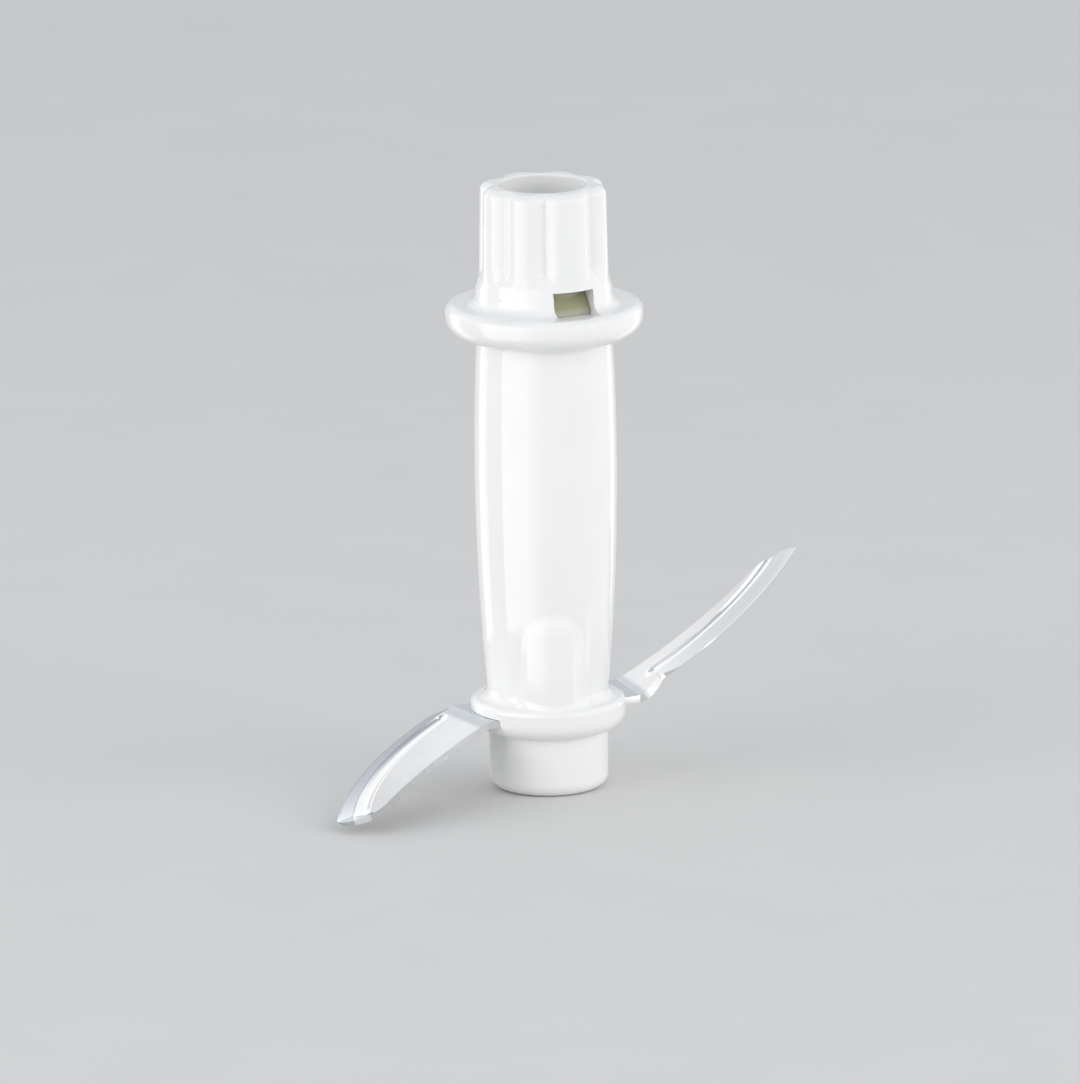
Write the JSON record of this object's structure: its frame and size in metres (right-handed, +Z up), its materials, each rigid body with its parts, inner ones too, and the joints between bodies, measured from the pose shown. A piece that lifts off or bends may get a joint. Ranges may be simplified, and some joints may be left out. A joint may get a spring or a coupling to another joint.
{
  "type": "chopping knife insert",
  "caption": "Chopping knife of a small food processor: a tall moulded hub with a flange and a lobed drive head, carrying curved, ground steel blades just above its foot.",
  "frame": {"origin": "centre of the spindle bore's mouth at the end of the foot", "axes": "+Z up the spindle axis towards the drive head, -Y out of the arched boss that faces the camera"},
  "size_m": [0.079, 0.0465, 0.1004],
  "materials": {
    "sleeve_plastic": "polished white moulding",
    "core_plastic": "white moulding",
    "bush_plastic": "turned bearing plastic",
    "blade_steel": "polished stainless sheet, ground edges"
  },
  "bodies": {
    "root": {"hub_sleeve": "sleeve_plastic", "spindle_core": "core_plastic", "spindle_bush": "bush_plastic", "lower_blade": "blade_steel", "upper_blade": "blade_steel"}
  },
  "joints": []
}
